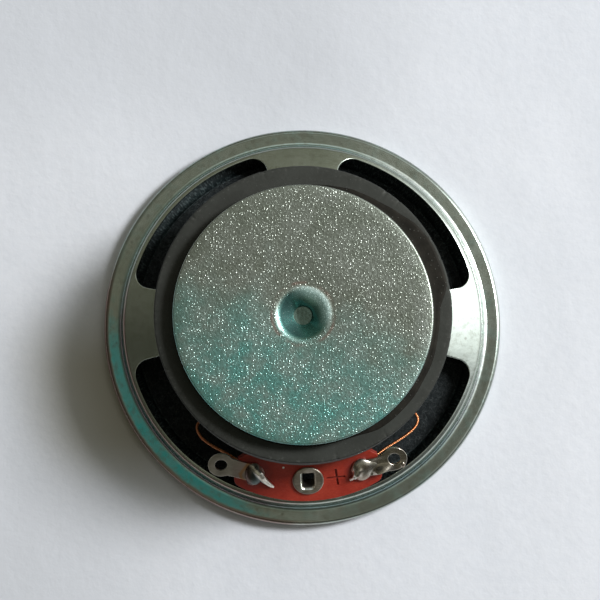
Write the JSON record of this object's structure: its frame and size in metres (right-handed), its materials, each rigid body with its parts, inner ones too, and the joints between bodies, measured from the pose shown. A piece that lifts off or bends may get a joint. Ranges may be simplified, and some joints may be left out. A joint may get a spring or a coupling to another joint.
{
  "type": "paper cone speaker",
  "caption": "Small round loudspeaker driver: a paper cone in a pressed steel frame, with a ferrite ring magnet behind and solder lugs on a fibre board.",
  "frame": {"origin": "centre of the front gasket's face, where the part rests on its front", "axes": "+Z runs back along the axis to the magnet, +X to the right and the terminals at -Y as seen from behind"},
  "size_m": [0.05, 0.05, 0.0201],
  "materials": {
    "zinc_plated_steel": "zinc plated, satin, slightly iridescent",
    "plated_motor_steel": "zinc plated over blasted steel, sparkling",
    "ferrite": "ground matte",
    "magnet_adhesive": "cured, glossy",
    "gasket_board": "pressed, dark",
    "surround_cloth": "doped woven cloth",
    "cone_paper": "black fibrous pulp",
    "former_paper": "varnished kraft",
    "enamelled_wire": "clear enamel over copper",
    "spider_cloth": "resin-treated weave",
    "rubber_glue": "cured, semi-gloss",
    "red_fibre": "hard vulcanised fibre, satin",
    "tinned_metal": "hot tinned, slightly dull",
    "solder": "bright, smooth",
    "tinsel_copper": "twisted copper tinsel"
  },
  "bodies": {
    "frame": {"basket": "zinc_plated_steel", "top_plate": "plated_motor_steel", "magnet_ring": "ferrite", "yoke": "plated_motor_steel", "front_film": "magnet_adhesive", "rear_film": "magnet_adhesive", "gasket": "gasket_board", "surround": "surround_cloth", "spider": "spider_cloth", "terminal_board": "red_fibre", "board_rivet": "tinned_metal", "lug_positive": "tinned_metal", "lug_negative": "tinned_metal", "lug_eyelets": "tinned_metal", "solder_positive": "solder", "solder_negative": "solder", "lead_positive": "tinsel_copper", "lead_negative": "tinsel_copper"},
    "cone_assembly": {"cone": "cone_paper", "dust_cap": "cone_paper", "coil_former": "former_paper", "voice_coil": "enamelled_wire", "neck_glue": "rubber_glue", "cap_glue": "rubber_glue", "coil_tails": "enamelled_wire", "lead_anchors": "rubber_glue"}
  },
  "joints": [
    {"name": "cone_travel", "type": "slide", "parent": "frame", "child": "cone_assembly", "axis": [0, 0, 1], "range_m": [-0.0008, 0.0008], "stiffness_N_per_m": 2500, "deforming": ["surround", "spider", "lead_positive", "lead_negative"]}
  ]
}
